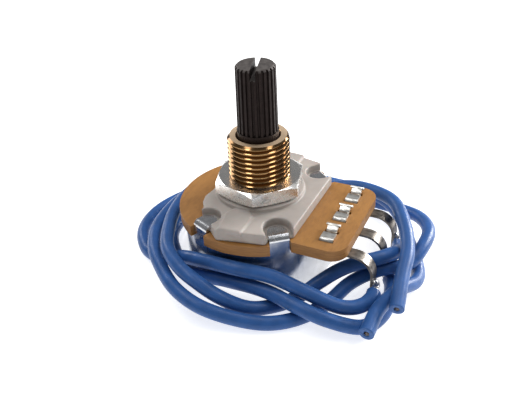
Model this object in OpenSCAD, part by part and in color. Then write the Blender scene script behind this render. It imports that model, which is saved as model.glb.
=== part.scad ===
// Panel potentiometer: moulded front plate, resin-paper element board, steel can
// clinched over the plate by four tabs, splined plastic shaft in a brass bushing,
// three folded terminals and three insulated leads laid round the can.
// The origin is the centre of the can's flat back, +Z runs along the shaft and
// +X points at the terminal strip.

/* [Can] */
// Outside diameter of the can
can_d = 24.6; // [23.4:0.1:25]
// Height of the can from its back to its rim
can_h = 8; // [7.6:0.1:10]
// Thickness of the can's sheet steel
can_t = 0.5; // [0.4:0.05:0.6]
// Outside radius of the can's bottom corner
can_corner_r = 0.9; // [0.6:0.1:1.5]
// Width of each clinching tab
tab_w = 3; // [2:0.1:3.6]
// Angle of the two tabs beside the strip, from +X
tab_near_a = 52; // [50:1:56]
// Angle of the two tabs away from the strip, from +X
tab_far_a = 113; // [108:1:118]
// Reach of a tab's folded end in from the wall's outer face
tab_reach = 3; // [2.4:0.1:3.2]
// Drop of the rim below the terminal strip
rim_drop = 1.1; // [0.8:0.1:1.5]
// Half angle of the lowered rim
rim_drop_a = 40; // [36:1:42]

/* [Element board] */
// Diameter of the board's round part
board_d = 26; // [25.8:0.1:26.6]
// Thickness of the board
board_t = 1.8; // [1.4:0.1:2.2]
// Distance from the axis to the strip's outer edge
strip_reach = 16.9; // [16.4:0.1:18]
// Width of the terminal strip
strip_w = 18.2; // [17.6:0.1:19]
// Radius of the strip's outer corners
strip_corner_r = 2.6; // [1.5:0.1:3]
// Diameter of the board's middle hole
board_hole_d = 9.6; // [9.2:0.1:10]

/* [Resistance element] */
// Middle radius of the carbon track
track_r = 9.3; // [9:0.1:9.6]
// Width of the carbon track
track_w = 1.8; // [1.2:0.1:2.2]
// Half angle of the gap in the carbon track
track_gap_a = 27; // [24:1:29]
// Middle radius of the collector ring
collector_r = 6.3; // [6.1:0.1:6.6]
// Width of the collector ring
collector_w = 1.2; // [0.8:0.1:1.6]
// Thickness of the printed films
film_t = 0.06; // [0.04:0.01:0.1]

/* [Front plate] */
// Thickness of the moulded plate
plate_t = 1.8; // [1.6:0.1:2.2]
// Diameter of the round boss under the nut
boss_d = 14; // [13.6:0.1:14.6]
// Height of the boss
boss_h = 0.7; // [0.4:0.1:1]
// Distance from the axis to the plate's straight edge
plate_edge = 9.1; // [8.8:0.1:9.4]
// Height of the two rounded pads
pad_h = 0.35; // [0.2:0.05:0.45]
// Depth of the recess under each folded tab
recess_h = 1.4; // [0.5:0.1:1.5]
// Radius of each tab recess
recess_r = 2.1; // [2:0.1:2.4]
// Radius of the outline's rounded corners
plate_corner_r = 0.6; // [0.3:0.1:0.8]

/* [Bushing and nut] */
// Outside diameter of the bushing's thread
bush_d = 9.525; // [9.4:0.025:9.6]
// Length of the bushing above the mounting face
bush_len = 9; // [7:0.5:12]
// Depth from the thread's crests to its pitch line, where the nut engages it
thread_half = 0.26; // [0.2:0.01:0.3]
// Chamfer at the bushing's end
bush_chamfer = 0.45; // [0.2:0.05:0.6]
// Diameter of the flange held under the plate
flange_d = 12.4; // [11.6:0.1:13]
// Thickness of that flange
flange_t = 0.8; // [0.6:0.1:1]
// Nut size across its flats
nut_af = 12.7; // [12:0.1:13]
// Thickness of the nut
nut_t = 2.2; // [1.8:0.1:2.6]
// Gap under the hand-run nut
nut_gap = 0.15; // [0.1:0.05:0.3]
// Turn of the nut about the shaft
nut_turn = 46; // [0:1:59]
// Chamfer on the nut's two faces
nut_chamfer = 0.4; // [0.2:0.05:0.5]

/* [Shaft] */
// Length of the shaft above the mounting face
shaft_len = 20; // [17:0.5:25]
// Diameter of the bearing length in the bushing
journal_d = 6.35; // [6:0.05:6.4]
// Height of the smooth collar above the bushing
collar_h = 0.9; // [0.5:0.1:1.5]
// Diameter over the splines at their foot
spline_d = 6.2; // [6:0.05:6.3]
// Diameter over the splines at the tip
spline_tip_d = 5.9; // [5.8:0.05:6]
// Number of splines
spline_n = 24; // [18:1:28]
// Depth of the splines
spline_depth = 0.26; // [0.15:0.01:0.3]
// Chamfer round the tip
tip_chamfer = 0.3; // [0.2:0.05:0.5]
// Width of the screwdriver slot
slot_w = 0.85; // [0.6:0.05:1.2]
// Depth of the screwdriver slot
slot_depth = 1.5; // [0.8:0.1:2.5]
// Turn of the slot about the shaft at mid travel
slot_turn = 107; // [90:1:130]
// Diameter of the shaft's drive end
drive_d = 5.8; // [5.4:0.1:6]
// Distance across the drive end's two flats
drive_af = 4.6; // [4.2:0.1:5]
// Diameter of the pivot on the can's floor
pivot_d = 2.4; // [1.8:0.1:3]

/* [Retaining ring] */
// Outside diameter of the ring
ring_d = 8.4; // [8:0.1:8.8]
// Thickness of the ring
ring_t = 0.5; // [0.4:0.05:0.6]
// Diameter at the bottom of the ring's groove
groove_d = 5; // [4.6:0.1:5.2]
// Opening angle of the ring
ring_gap_a = 70; // [50:1:90]

/* [Rotor] */
// Diameter of the rotor disc
rotor_d = 20.2; // [19.8:0.1:20.4]
// Thickness of the rotor disc
rotor_t = 1.6; // [1.2:0.1:1.8]
// Height of the rotor disc above the can's back
rotor_z = 3.4; // [3.2:0.1:3.6]
// Diameter of the rotor's hub
hub_d = 9; // [8.6:0.1:9.2]
// Travel of the shaft from one stop to the other
travel_a = 300; // [290:1:304]
// Half angle of the rotor's stop lug
stop_lug_a = 14.5; // [10:0.5:14.5]
// Thickness of the wiper's spring sheet
wiper_t = 0.25; // [0.2:0.05:0.3]
// Width of each wiper finger
finger_w = 1.1; // [0.8:0.1:1.3]

/* [Terminals] */
// Spacing of the terminals along the strip
term_pitch = 5.6; // [5.4:0.1:6]
// Distance from the axis to the clinched tops
term_x = 13.6; // [13.2:0.1:14]
// Width of the terminal ribbon
lug_w = 2; // [1.6:0.1:2.2]
// Thickness of the terminal ribbon
lug_t = 0.35; // [0.3:0.05:0.4]
// Distance from the axis to the hanging end
lug_x = 20.6; // [20.2:0.1:21.2]
// Bend radius where the ribbon turns down
lug_bend_r = 2.9; // [2.4:0.1:3.2]
// Height of the ribbon's lower end
lug_end_z = 1.2; // [0.8:0.1:1.6]
// Half length of the clinched staple along the strip
staple_half = 1.2; // [1:0.05:1.3]

/* [Leads] */
// Outside diameter of the insulation
lead_d = 2.15; // [2:0.05:2.15]
// Diameter of the stranded core
core_d = 0.9; // [0.6:0.05:1]
// Bare length of core from a lug's middle to the insulation
core_run = 1.7; // [1.5:0.05:1.75]
// Diameter of the solder on each lug
solder_d = 2.2; // [1.8:0.1:2.4]
// Height of the soldered core on the front lug
core_front_z = 3; // [2.8:0.1:3.2]
// Height of the soldered core on the middle lug
core_middle_z = 1.4; // [1.3:0.1:1.6]
// Height of the soldered core on the rear lug
core_rear_z = 4; // [3.8:0.1:4.2]

/* [Clearances] */
// Radial running clearance of the shaft
run_clear = 0.04; // [0.03:0.005:0.06]
// Radial clearance of fixed round fits
fix_clear = 0.03; // [0.02:0.005:0.05]
// Gap between the wiper's contacts and the films
contact_gap = 0.06; // [0.05:0.01:0.1]
// End play of the shaft at its ring and its pivot
end_play = 0.06; // [0.05:0.01:0.1]
// Gap between the board's notches and the tabs
notch_clear = 0.1; // [0.05:0.05:0.2]
// Gap between the stops at each end of the travel, in degrees
stop_clear = 0.4; // [0.2:0.1:1]
// Solder between a lug's face and its core
solder_film = 0.06; // [0.04:0.01:0.1]

/* [Hidden] */
$fn = 96;
hull_fn = 32;
edge_fn = 24;
over = 0.5;
shoulder_h = 1.2;
hub_drop = 1;
stop_gap = 0.2;
film_pad_a = 6;
notch_lead_a = 9;
fillet_a = 1;
lobe_dip = 1.9;
lobe_dip_a = 5;
// Waist of the plate past each far tab: angle from the tab, height over the boss
lobe = [[22, 2.5], [32, 1.8], [44, 0.5]];
pad_x = 0.4;
pad_y = boss_d / 2 + 1.7;
pad_r = 2.2;
pad_near_a = 26;
pad_far_a = 18.5;
lug_root = 1.4;
staple_bend_r = 0.4;
leg_w = 1.6;
flare_rise = 0.5;
flare_reach = 1.1;
// Share of a finger's radius that its arm covers, and of the arm where it leaves the base
finger_share = 0.55;
finger_root = 0.8;
// Half length, rise and dip of a finger's rounded contact
finger_half = 0.6;
finger_rise = 0.25;
finger_dip = 0.35;
// Angles between which the wiper's base ring lies
wiper_a0 = 115;
wiper_a1 = 215;
flare_turn = 20;
flare_len = 0.35;
flare_w = 2.2;

board_z = can_h;
plate_z = board_z + board_t;
plate_top = plate_z + plate_t;
mount_z = plate_top + boss_h;
nut_z = mount_z + nut_gap;
nut_top = nut_z + nut_t;
free_thread_z = nut_top + nut_gap;
pitch_r = bush_d / 2 - thread_half;
bush_top = mount_z + bush_len;
shaft_top = mount_z + shaft_len;
collar_top = bush_top + collar_h;
can_r = can_d / 2;
can_in_r = can_r - can_t;
tab_angles = [tab_near_a, tab_far_a, -tab_far_a, -tab_near_a];
tab_seat_z = plate_top - recess_h;
tab_bend_r = 0.4;
rim_low_z = can_h - rim_drop;
ring_z = plate_z - end_play - ring_t;
drive_top = ring_z - shoulder_h;
hub_z = rotor_z - hub_drop;
film_out_r = can_in_r - 2 * notch_clear;
film_z = board_z - film_t;
lug_z = film_z - lug_t / 2;
rotor_top = rotor_z + rotor_t;
stop_r = rotor_d / 2 + stop_gap;
stop_half_a = 180 - travel_a / 2 - stop_lug_a - stop_clear;
// The wiper passes over the stop tongue
tongue_top = rotor_top - 2 * stop_gap;
term_y = [-term_pitch, 0, term_pitch];
core_z = [core_front_z, core_middle_z, core_rear_z];
core_turn = [-90, -65, -75];
core_x = lug_x + lug_t / 2 + solder_film + core_d / 2;

// Point at a radius and an angle
function polar(r, a) = [r * cos(a), r * sin(a)];

// Points of an arc in the plane
function arc(c, r, a0, a1, n = 8) =
    [for (i = [0:n]) c + polar(r, a0 + (a1 - a0) * i / n)];

// Outline of a bent strip: a path, thickened by t on both sides together
function unit(v) = v / norm(v);
function path_normal(p, i) =
    let (a = p[max(i - 1, 0)], b = p[min(i + 1, len(p) - 1)], d = unit(b - a)) [-d[1], d[0]];
function ribbon(p, t) = concat(
    [for (i = [0:len(p) - 1]) p[i] + path_normal(p, i) * t / 2],
    [for (i = [len(p) - 1:-1:0]) p[i] - path_normal(p, i) * t / 2]);

// Strip with its path in the XZ plane and its width along Y, centred
module xz_strip(path, t, w) {
    translate([0, w / 2, 0]) rotate([90, 0, 0]) linear_extrude(w) polygon(ribbon(path, t));
}

// Strip with its path in the YZ plane and its width along X, centred
module yz_strip(path, t, w) {
    translate([-w / 2, 0, 0]) rotate([90, 0, 90]) linear_extrude(w) polygon(ribbon(path, t));
}

// Sector of a ring, between two angles
module ring_sector(r_in, r_out, h, a0, a1) {
    rotate([0, 0, a0]) rotate_extrude(angle = a1 - a0)
        translate([r_in, 0]) square([r_out - r_in, h]);
}

// Path of one tab: up from the rim, folded in over its seat
function tab_path() =
    let (r = can_r - can_t / 2, z = tab_seat_z + can_t / 2, b = tab_bend_r + can_t / 2)
    concat([[r, rim_low_z - over]], arc([r - b, z - b], b, 0, 90), [[can_r - tab_reach, z]]);

module can_tab() {
    intersection() {
        xz_strip(tab_path(), can_t, tab_w);
        union() {
            translate([can_r - tab_reach + tab_w / 2, 0, 0])
                cylinder(d = tab_w, h = plate_top + over);
            translate([can_r - tab_reach + tab_w / 2, -tab_w / 2, 0])
                cube([tab_reach, tab_w, plate_top + over]);
        }
    }
}

// Drawn cup with a rounded bottom corner
module can_shell() {
    rotate_extrude() difference() {
        union() {
            square([can_r - can_corner_r, can_h]);
            translate([0, can_corner_r]) square([can_r, can_h - can_corner_r]);
            translate([can_r - can_corner_r, can_corner_r]) circle(can_corner_r);
        }
        translate([-over, can_t]) square([can_in_r + over, can_h]);
        translate([-can_r, -over]) square([can_r, can_h + 2 * over]);
    }
}

module rear_can() {
    color("silver") {
        difference() {
            can_shell();
            translate([0, 0, rim_low_z])
                ring_sector(can_in_r - over, can_r + over, can_h, -rim_drop_a, rim_drop_a);
        }
        for (a = tab_angles) rotate([0, 0, a]) can_tab();
        // stop tongue lanced from the floor
        translate([0, 0, can_t - over / 2])
            ring_sector(stop_r, stop_r + can_t, tongue_top - can_t + over / 2,
                -stop_half_a, stop_half_a);
    }
}

module board_outline() {
    difference() {
        union() {
            circle(board_d / 2);
            translate([0, -strip_w / 2]) square([strip_reach - strip_corner_r, strip_w]);
            translate([0, -strip_w / 2 + strip_corner_r])
                square([strip_reach, strip_w - 2 * strip_corner_r]);
            for (s = [-1, 1]) translate([strip_reach - strip_corner_r, s * (strip_w / 2 - strip_corner_r)])
                circle(strip_corner_r);
        }
        circle(board_hole_d / 2);
        for (a = tab_angles) rotate(a)
            translate([can_in_r - notch_clear, -tab_w / 2 - notch_clear])
                square([board_d / 2, tab_w + 2 * notch_clear]);
        for (y = term_y) for (s = [-1, 1]) translate([term_x, y + s * staple_half])
            square([lug_w + 2 * notch_clear, lug_t + 2 * notch_clear], center = true);
    }
}

module element_board() {
    color("peru") translate([0, 0, board_z]) linear_extrude(board_t) board_outline();
}

// Printed carbon arc with a widened pad at each end
module carbon_track() {
    color("dimgray") translate([0, 0, film_z]) {
        ring_sector(track_r - track_w / 2, track_r + track_w / 2, film_t,
            track_gap_a, 360 - track_gap_a);
        for (s = [0, 1]) mirror([0, s, 0])
            ring_sector(track_r, film_out_r, film_t, track_gap_a, track_gap_a + film_pad_a);
    }
}

// Printed ring with a tail that runs out to the middle terminal
module collector_ring() {
    color("lightgray") translate([0, 0, film_z]) {
        ring_sector(collector_r - collector_w / 2, collector_r + collector_w / 2, film_t, 0, 360);
        translate([collector_r, -lug_w / 2, 0])
            cube([film_out_r - collector_r, lug_w, film_t]);
    }
}

// Upper half of the plate's outline, from the straight edge round to the lobe
function plate_half() =
    let (r = board_d / 2 - notch_clear, inner = can_in_r - notch_clear,
         h = asin(tab_w / 2 / inner) + fillet_a)
    concat([[plate_edge, 0], [plate_edge, sqrt(r * r - plate_edge * plate_edge)],
        polar(inner, tab_near_a - h), polar(inner, tab_near_a + h),
        polar(r, tab_near_a + h), polar(r, tab_far_a - h - notch_lead_a),
        polar(inner, tab_far_a - h), polar(inner, tab_far_a + h),
        polar(inner - lobe_dip, tab_far_a + h + lobe_dip_a)],
        [for (v = lobe) polar(boss_d / 2 + v[1], tab_far_a + v[0])],
        [[-boss_d / 2 + notch_clear, 0]]);

function mirrored(p) = [for (i = [len(p) - 2:-1:1]) [p[i][0], -p[i][1]]];

module plate_outline() {
    offset(r = plate_corner_r, $fn = edge_fn) offset(r = -2 * plate_corner_r, $fn = edge_fn)
        offset(r = plate_corner_r, $fn = edge_fn)
            polygon(concat(plate_half(), mirrored(plate_half())));
}

// Rounded pad between the two tabs on one side
module pad_outline() {
    r = board_d / 2 - pad_h;
    translate([pad_x, pad_y]) circle(pad_r);
    polygon([[pad_x - pad_r, pad_y], polar(r, tab_far_a - pad_far_a),
        polar(r, tab_near_a + pad_near_a), [pad_x + pad_r, pad_y]]);
}

module front_plate() {
    color("gainsboro") difference() {
        union() {
            translate([0, 0, plate_z]) linear_extrude(plate_t) plate_outline();
            translate([0, 0, plate_top - over]) cylinder(d = boss_d, h = boss_h + over);
            for (s = [0, 1]) mirror([0, s, 0]) translate([0, 0, plate_top - over]) {
                linear_extrude(over + pad_h / 2) pad_outline();
                linear_extrude(over + pad_h) offset(delta = -pad_h / 2) pad_outline();
            }
        }
        for (a = tab_angles) rotate([0, 0, a]) {
            translate([can_r - tab_reach + tab_w / 2 - 0.1, 0, tab_seat_z])
                cylinder(r = recess_r, h = plate_t);
            translate([can_r - tab_reach + tab_w / 2, -recess_r, tab_seat_z])
                cube([tab_reach, 2 * recess_r, plate_t]);
        }
        translate([0, 0, plate_z - over])
            cylinder(d = bush_d + 2 * fix_clear, h = mount_z);
        translate([0, 0, plate_z - over])
            cylinder(d = flange_d + 2 * fix_clear, h = flange_t + over);
    }
}

module bushing() {
    bore = journal_d + 2 * run_clear;
    color("darkgoldenrod") rotate_extrude() polygon([
        [bore / 2, plate_z], [flange_d / 2, plate_z], [flange_d / 2, plate_z + flange_t],
        [bush_d / 2, plate_z + flange_t], [bush_d / 2, mount_z], [pitch_r, mount_z],
        [pitch_r, free_thread_z], [bush_d / 2, free_thread_z], [bush_d / 2, bush_top - bush_chamfer],
        [bush_d / 2 - bush_chamfer, bush_top], [bore / 2, bush_top]]);
}

module mounting_nut() {
    corner_r = nut_af / 2 / cos(30);
    lip = corner_r - nut_af / 2;
    color("lightsteelblue") difference() {
        intersection() {
            translate([0, 0, nut_z]) rotate([0, 0, nut_turn]) cylinder(r = corner_r, h = nut_t, $fn = 6);
            rotate_extrude() polygon([
                [0, nut_z], [corner_r - lip, nut_z], [corner_r, nut_z + nut_chamfer],
                [corner_r, nut_top - nut_chamfer], [corner_r - lip, nut_top], [0, nut_top]]);
        }
        translate([0, 0, nut_z - over])
            cylinder(r = pitch_r + fix_clear, h = nut_t + 2 * over);
    }
}

// One spline is a tooth with sloped flanks, repeated round the shaft
function spline_points(d) =
    [for (i = [0:spline_n - 1]) for (k = [[0.5, 0.22], [0, 0.34], [0, 0.66], [0.5, 0.78]])
        polar(d / 2 - (k[0] > 0 ? 0 : spline_depth), 360 / spline_n * (i + k[1] - 0.5))];

module shaft() {
    tip_r = spline_tip_d / 2;
    color([0.16, 0.15, 0.15]) difference() {
        union() {
            intersection() {
                translate([0, 0, collar_top - over])
                    linear_extrude(shaft_top - collar_top + over, scale = spline_tip_d / spline_d)
                        polygon(spline_points(spline_d));
                rotate_extrude() polygon([[0, collar_top - 2 * over], [journal_d, collar_top - 2 * over],
                    [journal_d, shaft_top - tip_chamfer - journal_d + tip_r],
                    [tip_r - tip_chamfer, shaft_top], [0, shaft_top]]);
            }
            translate([0, 0, ring_z]) cylinder(d = journal_d, h = collar_top - ring_z);
            translate([0, 0, drive_top]) cylinder(d = journal_d, h = ring_z - drive_top + over);
            intersection() {
                translate([0, 0, can_t + end_play]) cylinder(d = drive_d, h = drive_top);
                translate([0, 0, hub_z + drive_top / 2])
                    cube([drive_d + over, drive_af, drive_top], center = true);
            }
            translate([0, 0, can_t + end_play]) cylinder(d = pivot_d, h = drive_top - hub_drop);
        }
        // groove for the retaining ring
        difference() {
            translate([0, 0, ring_z]) cylinder(d = journal_d + over, h = ring_t + end_play);
            translate([0, 0, ring_z - over]) cylinder(d = groove_d, h = ring_t + 2 * over);
        }
        rotate([0, 0, slot_turn]) translate([-journal_d, -slot_w / 2, shaft_top - slot_depth])
            cube([2 * journal_d, slot_w, slot_depth + over]);
    }
}

module retaining_ring() {
    color("gray") translate([0, 0, ring_z])
        ring_sector(groove_d / 2 + fix_clear, ring_d / 2, ring_t, ring_gap_a / 2, 360 - ring_gap_a / 2);
}

module rotor() {
    hub_top = drive_top - fix_clear;
    color("saddlebrown") difference() {
        union() {
            translate([0, 0, rotor_z]) cylinder(d = rotor_d, h = rotor_t);
            translate([0, 0, hub_z]) cylinder(d = hub_d, h = hub_top - hub_z);
            translate([0, 0, rotor_z])
                ring_sector(rotor_d / 2 - over, stop_r + can_t, rotor_t,
                    180 - stop_lug_a, 180 + stop_lug_a);
        }
        intersection() {
            translate([0, 0, -over]) cylinder(d = drive_d + 2 * fix_clear, h = can_h + 2 * over);
            translate([0, 0, can_h / 2])
                cube([can_d, drive_af + 2 * fix_clear, can_h + 3 * over], center = true);
        }
    }
}

// Sprung finger that rises from the base ring to touch a film at radius r
module wiper_finger(r, turn) {
    tip_z = film_z - contact_gap - wiper_t / 2;
    base_z = rotor_top + wiper_t / 2;
    run = r * finger_share;
    rotate([0, 0, turn]) translate([r, 0, 0])
        yz_strip([[-run, base_z], [-run * finger_root, base_z], [-finger_half, tip_z - finger_rise],
            [0, tip_z], [finger_half, tip_z - finger_dip]], wiper_t, finger_w);
}

module wiper_spring() {
    color("goldenrod") {
        translate([0, 0, rotor_top])
            ring_sector(hub_d / 2 + fix_clear, track_r + finger_w / 2, wiper_t, wiper_a0, wiper_a1);
        wiper_finger(track_r, 180);
        wiper_finger(collector_r, 180);
    }
}

// Ribbon path of a lug: out under the strip, then bent down to its hanging end
function lug_path() = concat(
    [[can_in_r - lug_root, lug_z]],
    arc([lug_x - lug_bend_r, lug_z - lug_bend_r], lug_bend_r, 90, 0, 12),
    [[lug_x, lug_end_z]]);

// Staple path: up through the near slot, folded back over the board
function staple_near_path() =
    let (z = plate_z + lug_t / 2, y = -staple_half)
    concat([[y, lug_z]], arc([y + staple_bend_r, z - staple_bend_r], staple_bend_r, 180, 90, 5),
        [[staple_half - 2 * lug_t, z]]);

// Second leg: up through the far slot, flared end folded outwards
function staple_far_path() =
    let (z = plate_z + lug_t / 2, y = staple_half)
    concat([[y, lug_z]], arc([y + staple_bend_r, z - flare_rise / 2], staple_bend_r, 180, 115, 5),
        [[y + flare_reach, z + flare_rise]]);

module terminal(y) {
    color("silver") translate([0, y, 0]) {
        xz_strip(lug_path(), lug_t, lug_w);
        translate([term_x, 0, 0]) {
            yz_strip(staple_near_path(), lug_t, lug_w);
            yz_strip(staple_far_path(), lug_t, leg_w);
            translate([-flare_w / 2, staple_half + flare_reach - flare_len, plate_z + lug_t + notch_clear])
                rotate([flare_turn, 0, 0]) cube([flare_w, flare_len, lug_t]);
            translate([-lug_w / 2, -staple_half - lug_t / 2, lug_z - lug_t / 2])
                cube([lug_w, 2 * staple_half + lug_t, lug_t]);
        }
    }
}

// The bare core of lead i lies along its lug's outer face and leaves it sideways
module lead_core(i) {
    color("silver") translate([core_x, term_y[i], core_z[i]]) rotate([0, 90, core_turn[i]])
        cylinder(d = core_d, h = core_run, $fn = edge_fn);
}

// Dome of solder over the core, flat against the lug
module solder(i) {
    color("darkgray") difference() {
        translate([lug_x + lug_t / 2, term_y[i], core_z[i]]) rotate([0, 90, 0]) rotate_extrude($fn = hull_fn)
            intersection() {
                circle(d = solder_d);
                square(solder_d / 2);
            }
        lead_core(i);
    }
}

// Tube along a route, as one polyhedron with a flat end at each end
lead_sides = 8;
function tangent(p, i) = unit(p[min(i + 1, len(p) - 1)] - p[max(i - 1, 0)]);
function ring_points(p, i, r) =
    let (t = tangent(p, i), side = unit(cross(t, [0, 0, 1])), up = cross(side, t))
    [for (k = [0:lead_sides - 1])
        p[i] + r * (cos(360 * k / lead_sides) * side + sin(360 * k / lead_sides) * up)];
module lead_tube(p) {
    n = len(p);
    m = lead_sides;
    points = [for (i = [0:n - 1]) for (q = ring_points(p, i, lead_d / 2)) q];
    sides = [for (i = [0:n - 2]) for (k = [0:m - 1])
        [i * m + k, i * m + (k + 1) % m, (i + 1) * m + (k + 1) % m, (i + 1) * m + k]];
    split = [for (f = sides) for (h = [[f[0], f[1], f[2]], [f[0], f[2], f[3]]]) h];
    caps = [[for (k = [m - 1:-1:0]) k], [for (k = [0:m - 1]) (n - 1) * m + k]];
    color("steelblue") polyhedron(points, concat(split, caps));
}

// Routes of the leads, from the terminal to the cut end
front_route = [
    [21.3, -7.4, 3], [21.3, -8.6, 3], [20.7, -10.5, 3.1], [19.3, -12, 3.3], [17.2, -12.8, 3.7],
    [13, -12.8, 4.6], [7.5, -12.6, 5.6], [2.3, -13.6, 6.2], [-3, -13.4, 5.8], [-8, -12.3, 4.4],
    [-12.6, -11, 1.8], [-17, -9.2, 1.1], [-20.6, -4.8, 1.1], [-21.6, 1, 1.1], [-19.8, 7.2, 1.1],
    [-15.6, 12.9, 1.1], [-9.5, 17, 1.1], [-2.5, 19.1, 1.1], [5, 19.4, 1.1], [12, 18.8, 1.2],
    [18, 17.2, 1.8], [22.6, 14.2, 3], [25.2, 9.6, 4], [25.4, 4.6, 4.1], [24.1, 0.4, 3.4],
    [20.7, -2.8, 3.7], [17.4, -6, 2.6], [15.2, -10.2, 1.2], [12.6, -14.5, 1.1], [9, -17.3, 1.1],
    [4.6, -19, 1.8], [-0.5, -19.9, 3], [-5.4, -18.6, 3.7], [-9.9, -15.3, 3.8], [-13.5, -11.7, 4],
    [-16.3, -6.8, 3.8], [-17.6, -1, 3.5], [-17.4, 4.6, 3.4], [-15.4, 9.4, 3.4], [-11.6, 12.8, 3.4],
    [-6, 14.7, 3.4], [0.5, 14.6, 4.2], [7, 13.8, 5.8], [12.8, 12.8, 7.4], [18.8, 9.8, 8.1],
    [22.2, 4.6, 7.7], [24.2, -0.8, 6.9], [24.8, -6, 6], [25.6, -11.4, 4.7]];
middle_route = [
    [22.1, -1.6, 1.4], [22.8, -3.1, 1.4], [23.3, -5.6, 1.3], [23.2, -9.6, 1.1], [21.4, -13.4, 1.6],
    [17, -15.1, 2.8], [12.2, -14.8, 3.4], [7.2, -13.6, 3.4], [2, -13.6, 3.5], [-3.2, -13.5, 3],
    [-7.6, -11.9, 1.6], [-11.8, -8.4, 1.1], [-15.4, -3.6, 1.1], [-16.2, 2.5, 1.1],
    [-14.6, 8.2, 1.1], [-10.4, 12.4, 1.1], [-5, 15, 1.1]];
rear_route = [
    [21.8, 3.9, 4], [22.2, 2.5, 4.4], [22.3, 0.9, 5], [22.1, -0.7, 5.7], [21.2, -2.3, 6],
    [19.3, -3.9, 5.8], [17.2, -5.2, 5.3], [15.3, -6.6, 4.5], [13.2, -8.4, 3.1], [10.9, -10.8, 1.5],
    [8.5, -13.4, 1.1], [5.3, -16, 1.6], [1.5, -17.4, 3.4], [-2.4, -17.3, 5], [-6.2, -16, 5.8],
    [-10, -12.9, 6.1], [-12.8, -8, 6], [-14.7, -2.8, 5.8], [-15.4, 3, 5.6], [-13.6, 9, 5.7],
    [-8.6, 14.4, 5.9], [-2.5, 17.5, 5], [4, 17.7, 4], [10.4, 17.6, 3.8], [16, 16, 3.8],
    [20, 12.4, 3.2], [22.6, 8, 2], [25.3, 3, 1.2], [25.9, -1, 1.7], [24.6, -5.6, 3.4],
    [23.1, -11, 3.7], [22.9, -16.2, 3.4]];

rear_can();
element_board();
carbon_track();
collector_ring();
front_plate();
bushing();
mounting_nut();
shaft();
retaining_ring();
rotor();
wiper_spring();
terminal(term_y[0]);  // terminal_front
terminal(term_y[1]);  // terminal_middle
terminal(term_y[2]);  // terminal_rear
solder(0);  // solder_front
solder(1);  // solder_middle
solder(2);  // solder_rear
lead_core(0);  // core_front
lead_core(1);  // core_middle
lead_core(2);  // core_rear
lead_tube(front_route);  // lead_front
lead_tube(middle_route);  // lead_middle
lead_tube(rear_route);  // lead_rear
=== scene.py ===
"""Looks of a panel potentiometer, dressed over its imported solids."""

import math

import bmesh
import bpy
from bpy.props import FloatProperty, FloatVectorProperty, IntProperty, PointerProperty
from bpy.types import Operator, Panel, PropertyGroup
from mathutils import Matrix, Vector


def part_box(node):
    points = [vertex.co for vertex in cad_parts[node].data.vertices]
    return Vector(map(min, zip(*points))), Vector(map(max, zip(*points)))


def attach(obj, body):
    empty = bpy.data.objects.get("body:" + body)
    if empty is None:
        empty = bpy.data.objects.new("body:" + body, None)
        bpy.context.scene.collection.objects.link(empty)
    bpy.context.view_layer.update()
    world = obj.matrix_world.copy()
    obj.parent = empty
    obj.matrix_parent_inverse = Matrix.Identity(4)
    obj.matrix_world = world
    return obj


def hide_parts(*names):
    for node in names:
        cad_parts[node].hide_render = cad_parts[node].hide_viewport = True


bl_info = {
    "name": "Panel potentiometer",
    "version": (1, 0, 0),
    "blender": (4, 5, 0),
    "location": "View3D > Sidebar > Potentiometer",
    "description": "Models the threads, leads, solder and finishes of a panel potentiometer",
    "category": "Object",
}

MM = 0.001
# Distance within which points are merged, and the finer one that a cut snaps over
MERGE = 0.001 * MM
FINE = 0.0001 * MM
# Side of the square floor, in metres
FLOOR_SPAN = 8
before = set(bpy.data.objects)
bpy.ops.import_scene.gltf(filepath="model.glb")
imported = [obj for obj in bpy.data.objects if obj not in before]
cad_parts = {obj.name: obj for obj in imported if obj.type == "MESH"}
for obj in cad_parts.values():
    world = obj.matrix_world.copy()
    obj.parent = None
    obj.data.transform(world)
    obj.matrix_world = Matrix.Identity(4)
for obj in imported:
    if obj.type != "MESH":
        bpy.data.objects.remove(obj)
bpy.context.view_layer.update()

# Heights that the solids give, in metres
CAN_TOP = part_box("element_board")[0].z
NUT_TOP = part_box("mounting_nut")[1].z
BUSHING_FOOT, BUSHING_TOP = (v.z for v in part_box("bushing"))
LUG_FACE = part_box("terminal_middle")[1].x

# Routes of the leads in millimetres, from the terminal to the cut end
FRONT_ROUTE = [
    (21.3, -7.4, 3), (21.3, -8.6, 3), (20.7, -10.5, 3.1), (19.3, -12, 3.3), (17.2, -12.8, 3.7),
    (13, -12.8, 4.6), (7.5, -12.6, 5.6), (2.3, -13.6, 6.2), (-3, -13.4, 5.8), (-8, -12.3, 4.4),
    (-12.6, -11, 1.8), (-17, -9.2, 1.1), (-20.6, -4.8, 1.1), (-21.6, 1, 1.1), (-19.8, 7.2, 1.1),
    (-15.6, 12.9, 1.1), (-9.5, 17, 1.1), (-2.5, 19.1, 1.1), (5, 19.4, 1.1), (12, 18.8, 1.2),
    (18, 17.2, 1.8), (22.6, 14.2, 3), (25.2, 9.6, 4), (25.4, 4.6, 4.1), (24.1, 0.4, 3.4),
    (20.7, -2.8, 3.7), (17.4, -6, 2.6), (15.2, -10.2, 1.2), (12.6, -14.5, 1.1), (9, -17.3, 1.1),
    (4.6, -19, 1.8), (-0.5, -19.9, 3), (-5.4, -18.6, 3.7), (-9.9, -15.3, 3.8), (-13.5, -11.7, 4),
    (-16.3, -6.8, 3.8), (-17.6, -1, 3.5), (-17.4, 4.6, 3.4), (-15.4, 9.4, 3.4), (-11.6, 12.8, 3.4),
    (-6, 14.7, 3.4), (0.5, 14.6, 4.2), (7, 13.8, 5.8), (12.8, 12.8, 7.4), (18.8, 9.8, 8.1),
    (22.2, 4.6, 7.7), (24.2, -0.8, 6.9), (24.8, -6, 6), (25.6, -11.4, 4.7),
]
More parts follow.
